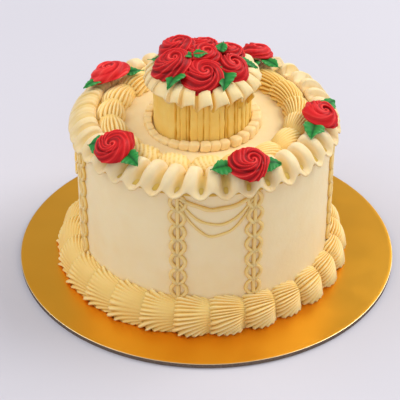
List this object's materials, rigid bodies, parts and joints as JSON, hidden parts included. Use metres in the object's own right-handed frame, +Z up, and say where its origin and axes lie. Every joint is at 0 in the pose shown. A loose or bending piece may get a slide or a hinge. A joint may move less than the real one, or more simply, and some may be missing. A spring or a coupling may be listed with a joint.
{
  "type": "decorated round cake on a cake board",
  "caption": "Round buttercream cake on a gold foil board, with piped shell borders, a ruffled rim, a small pleated tier, red roses and green leaves.",
  "frame": {"origin": "middle of the board's underside, on the surface it stands on", "axes": "+Z up, -Y towards the front that carries the swag panel seen in the picture"},
  "size_m": [0.3048, 0.3048, 0.1925],
  "materials": {
    "gold_board": "satin gold foil on card",
    "buttercream": "soft satin",
    "red_icing": "satin",
    "green_icing": "satin"
  },
  "bodies": {
    "root": {"cake_board": "gold_board", "cake": "buttercream", "foot_shell_border": "buttercream", "top_ruffle": "buttercream", "inner_shell_border": "buttercream", "small_tier": "buttercream", "tier_beads": "buttercream", "tier_collar": "buttercream", "rim_rose_1": "red_icing", "rim_rose_2": "red_icing", "rim_rose_3": "red_icing", "rim_rose_4": "red_icing", "rim_rose_5": "red_icing", "crown_rose_1": "red_icing", "crown_rose_2": "red_icing", "crown_rose_3": "red_icing", "crown_rose_4": "red_icing", "crown_rose_5": "red_icing", "crown_rose_6": "red_icing", "crown_rose_7": "red_icing", "rim_leaf_1": "green_icing", "rim_leaf_2": "green_icing", "rim_leaf_3": "green_icing", "rim_leaf_4": "green_icing", "rim_leaf_5": "green_icing", "rim_leaf_6": "green_icing", "rim_leaf_7": "green_icing", "rim_leaf_8": "green_icing", "rim_leaf_9": "green_icing", "rim_leaf_10": "green_icing", "crown_leaf_1": "green_icing", "crown_leaf_2": "green_icing", "crown_leaf_3": "green_icing", "crown_leaf_4": "green_icing", "crown_leaf_5": "green_icing", "crown_leaf_6": "green_icing", "crown_leaf_7": "green_icing", "crown_leaf_8": "green_icing"}
  },
  "joints": []
}
